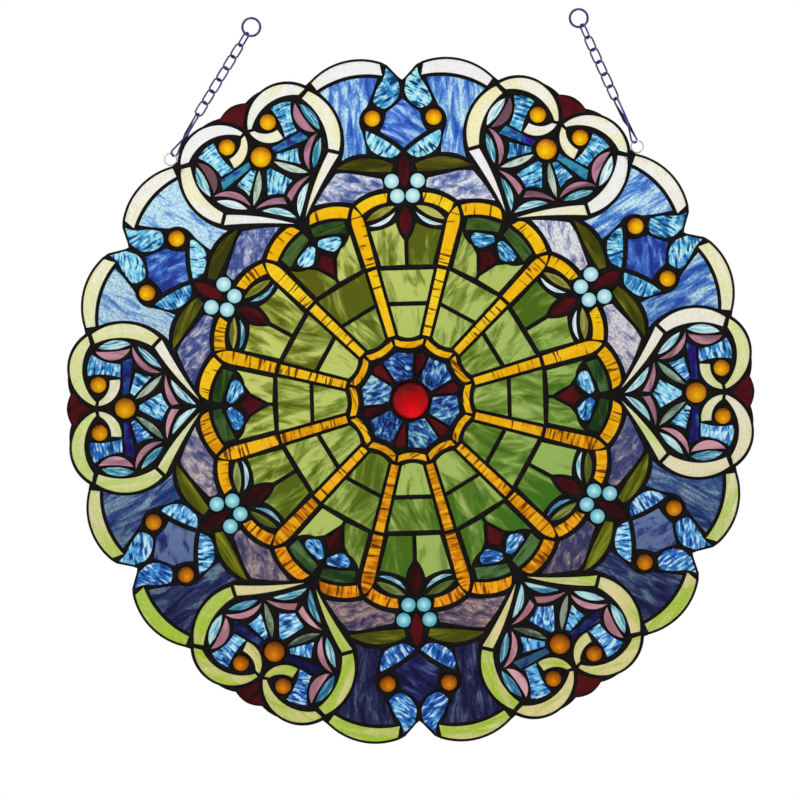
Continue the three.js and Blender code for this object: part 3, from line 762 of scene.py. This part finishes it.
def dark_metal(name, dark, patch_colour, patch_mm, roughness, metallic, specular):
    """A metal with a finish that is a little lighter in patches: black patina on the solder that is thinner
    in patches, bright tin on the copper wire, and on the steel wire a dark purple-grey that is painted
    shade, the wire as it looks dark against the light.
    """
    material, tree, shader = new_material(name)
    place = add_node(tree, "ShaderNodeTexCoord", {}).outputs["Object"]
    patches = add_node(tree, "ShaderNodeTexNoise", {
        "Vector": place, "Scale": 1 / (patch_mm * MM), "Detail": 4, "Roughness": 0.6}).outputs[0]
    share = add_node(tree, "ShaderNodeMapRange", {
        "Value": patches, "From Min": 0.45, "From Max": 0.75}).outputs[0]
    colour = add_node(tree, "ShaderNodeMix", {0: share, 6: linear(dark), 7: linear(patch_colour)},
                      data_type="RGBA").outputs[2]
    bump = add_node(tree, "ShaderNodeBump", {"Height": patches, "Strength": 0.4, "Distance": 0.3 * MM})
    tree.links.new(colour, shader.inputs["Base Color"])
    tree.links.new(bump.outputs[0], shader.inputs["Normal"])
    shader.inputs["Roughness"].default_value = roughness
    shader.inputs["Metallic"].default_value = metallic
    shader.inputs["Specular IOR Level"].default_value = specular
    return material


patina = dark_metal("black_patina_on_solder", "#060404", "#171211", 5, 0.5, 0.0, 0.08)
finished(solder, patina, "solder", "solder_lines")

# Hangers: on each side a tinned wire ring in a blob of solder on the edge, a long wire hook, a chain of
# twisted links and a ring at its top. Hooks, links and top rings are plated steel wire, bent and closed.
LOOP_RADIUS, LOOP_WIRE = 5.4, 1.3
JOINT_SIZE, JOINT_PLACE = (8.6, 3.6, 10.6), 10.4     # the blob of solder under a ring
HOOK_LENGTH, HOOK_WIDTH, HOOK_WIRE = 44.0, 8.4, 1.8
HOOK_FOOT_TURN, HOOK_HEAD_TURN = 50, 112      # the two wires of the hook cross
LINK_LENGTH, LINK_WIDTH, LINK_WIRE = 13.8, 7.6, 1.7
LINK_TURN, LAST_LINK_TURN = 25, 60            # to each side in turn; the last link crosses its ring
TOP_RING_RADIUS, TOP_RING_WIRE = 8.0, 2.2
RING_SEGMENTS, WIRE_SEGMENTS = 28, 10
JOINT_SEGMENTS, JOINT_RINGS = 18, 12


def wire_link(name, width, length, wire):
    """A closed ring of wire in the XZ plane, its halves drawn apart to an oval of the given length."""
    bpy.ops.object.select_all(action="DESELECT")
    bpy.ops.mesh.primitive_torus_add(
        major_radius=width / 2, minor_radius=wire / 2, major_segments=RING_SEGMENTS,
        minor_segments=WIRE_SEGMENTS, rotation=(math.pi / 2, 0, 0))
    link = bpy.context.object
    link.name = name
    bpy.ops.object.transform_apply(location=False, rotation=True, scale=False)
    if length > width:
        for sign in (1, -1):
            for part in (link.data.vertices, link.data.edges, link.data.polygons):
                part.foreach_set("select", [False] * len(part))
            for vertex in link.data.vertices:
                vertex.select = vertex.co.z * sign > 1e-6
            bpy.ops.object.mode_set(mode="EDIT")
            bpy.ops.mesh.select_mode(type="VERT")
            bpy.ops.transform.translate(value=(0, 0, sign * (length - width) / 2))
            bpy.ops.object.mode_set(mode="OBJECT")
    bpy.ops.object.shade_smooth()
    return link


# The dark purple-grey of the steel wire is painted shade: the wire as it looks dark against the light behind
# the panel.
steel = dark_metal("steel_wire_painted_shade", "#3A3064", "#6A5E9C", 6, 0.38, 0.85, 0.5)
tinned = dark_metal("tinned_copper_wire", "#B8B4B8", "#E4E2E4", 4, 0.3, 0.9, 0.5)


def middle_of(node):
    low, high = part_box(node)
    return (low + high) / 2


for side_name in ("left", "right"):
    loop_place, ring_place = middle_of(f"loop_{side_name}"), middle_of(f"top_ring_{side_name}")
    line = (ring_place - loop_place) / MM
    lean = Matrix.Rotation(math.atan2(line.x, line.z), 4, "Y")
    along = Matrix.Translation(loop_place) @ lean @ Matrix.Scale(MM, 4)

    loop = wire_link(f"edge_ring_{side_name}", 2 * LOOP_RADIUS, 2 * LOOP_RADIUS, LOOP_WIRE)
    loop.data.transform(Matrix.Translation(loop_place) @ Matrix.Scale(MM, 4))
    finished(loop, tinned, "solder", f"loop_{side_name}")

    inward = (MIDDLE - loop_place).normalized()
    to_middle = Matrix.Rotation(math.atan2(inward.x, inward.z), 4, "Y")
    bpy.ops.object.select_all(action="DESELECT")
    bpy.ops.mesh.primitive_uv_sphere_add(segments=JOINT_SEGMENTS, ring_count=JOINT_RINGS, radius=0.5)
    joint = bpy.context.object
    joint.name = f"edge_joint_{side_name}"
    joint.data.transform(Matrix.Translation(loop_place) @ to_middle @ Matrix.Scale(MM, 4)
                         @ Matrix.Translation((0, 0, JOINT_PLACE)) @ Matrix.Diagonal((*JOINT_SIZE, 1)))
    bpy.ops.object.shade_smooth()
    finished(joint, patina, "solder", "solder_lines")

    hook = wire_link(f"long_hook_{side_name}", HOOK_WIDTH, HOOK_LENGTH, HOOK_WIRE)
    hook_foot = LOOP_RADIUS - LOOP_WIRE / 2 - HOOK_WIRE / 2
    for vertex in hook.data.vertices:
        turn = HOOK_FOOT_TURN if vertex.co.z < 0 else HOOK_HEAD_TURN
        vertex.co.rotate(Matrix.Rotation(math.radians(turn), 3, "Z"))
    hook.data.transform(along @ Matrix.Translation((0, 0, hook_foot + HOOK_LENGTH / 2)))
    finished(hook, steel, "chain", f"hook_{side_name}")

    chain_foot = hook_foot + HOOK_LENGTH - HOOK_WIRE / 2 - LINK_WIRE / 2
    chain_top = line.length - (TOP_RING_RADIUS - TOP_RING_WIRE / 2) + LINK_WIRE / 2
    count = round((chain_top - chain_foot) / (LINK_LENGTH - LINK_WIRE))
    pitch = (chain_top - LINK_LENGTH - chain_foot) / (count - 1)
    links = []
    for i in range(count):
        link = wire_link(f"chain_links_{side_name}", LINK_WIDTH, LINK_LENGTH, LINK_WIRE)
        turn = LINK_TURN if i < count - 1 else LAST_LINK_TURN
        link.data.transform(along @ Matrix.Translation((0, 0, chain_foot + LINK_LENGTH / 2 + i * pitch))
                            @ Matrix.Rotation(math.radians(-turn if i % 2 else turn), 4, "Z"))
        links.append(link)
    chain = joined(f"chain_links_{side_name}", links)
    finished(chain, steel, "chain", f"chain_{side_name}")

    ring = wire_link(f"hanging_ring_{side_name}", 2 * TOP_RING_RADIUS, 2 * TOP_RING_RADIUS, TOP_RING_WIRE)
    ring.data.transform(Matrix.Translation(ring_place) @ Matrix.Scale(MM, 4))
    finished(ring, steel, "chain", f"top_ring_{side_name}")

# Studio: a pale floor under the hanging panel, white light from all round that shines through the glass,
# one soft lamp in front for the gloss, and a long lens square on to the panel.
FLOOR_GAP = 0.2           # from the foot of the panel down to the floor
FLOOR_SIZE = 2
floor_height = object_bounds()[0].z - FLOOR_GAP
bpy.ops.object.select_all(action="DESELECT")
bpy.ops.mesh.primitive_plane_add(size=FLOOR_SIZE, location=(0, 0, floor_height))
floor = bpy.context.object
floor.name = "floor"
bpy.ops.object.transform_apply(location=True, rotation=False, scale=False)
floor_paint, floor_tree, floor_shader = new_material("pale_matt_floor")
floor_shader.inputs["Base Color"].default_value = linear("#F0EFEC")
floor_shader.inputs["Roughness"].default_value = 0.9
floor.data.materials.append(floor_paint)

scene = bpy.context.scene
world = bpy.data.worlds.new("white studio")
scene.world = world
world.use_nodes = True
world.node_tree.nodes["Background"].inputs["Color"].default_value = (1, 1, 1, 1)
world.node_tree.nodes["Background"].inputs["Strength"].default_value = 1.0
scene.view_settings.view_transform = "Standard"

LAMP_POWER, LAMP_SIZE = 6, 1.2
LAMP_PLACE = Vector((-0.7, -1.6, 0.9))       # from the middle of the panel
lamp = bpy.data.lights.new("front_soft_lamp", "AREA")
lamp.energy = LAMP_POWER
lamp.size = LAMP_SIZE
lamp_object = bpy.data.objects.new("front_soft_lamp", lamp)
lamp_object.location = MIDDLE + LAMP_PLACE
lamp_object.rotation_euler = (MIDDLE - lamp_object.location).to_track_quat("-Z", "Y").to_euler()
scene.collection.objects.link(lamp_object)

CAMERA_DISTANCE = 4.0
PIXEL = 0.8931 * MM       # size of one picture point at the panel
PICTURE = 800
MIDDLE_PIXEL = (410.6, 400.3)
PHOTO_TILT = 1.569        # degrees that the panel hangs out of true in the picture, top to the left
camera = bpy.data.cameras.new("camera")
camera.lens = camera.sensor_width * CAMERA_DISTANCE / (PIXEL * PICTURE)
camera_object = bpy.data.objects.new("camera", camera)
aim = Matrix.Rotation(math.pi / 2, 4, "X") @ Matrix.Rotation(math.radians(-PHOTO_TILT), 4, "Z")
offset = Vector((PICTURE / 2 - MIDDLE_PIXEL[0], MIDDLE_PIXEL[1] - PICTURE / 2, 0)) * PIXEL
camera_object.matrix_world = (Matrix.Translation(MIDDLE) @ aim
                              @ Matrix.Translation(offset + Vector((0, 0, CAMERA_DISTANCE))))
scene.collection.objects.link(camera_object)
scene.camera = camera_object
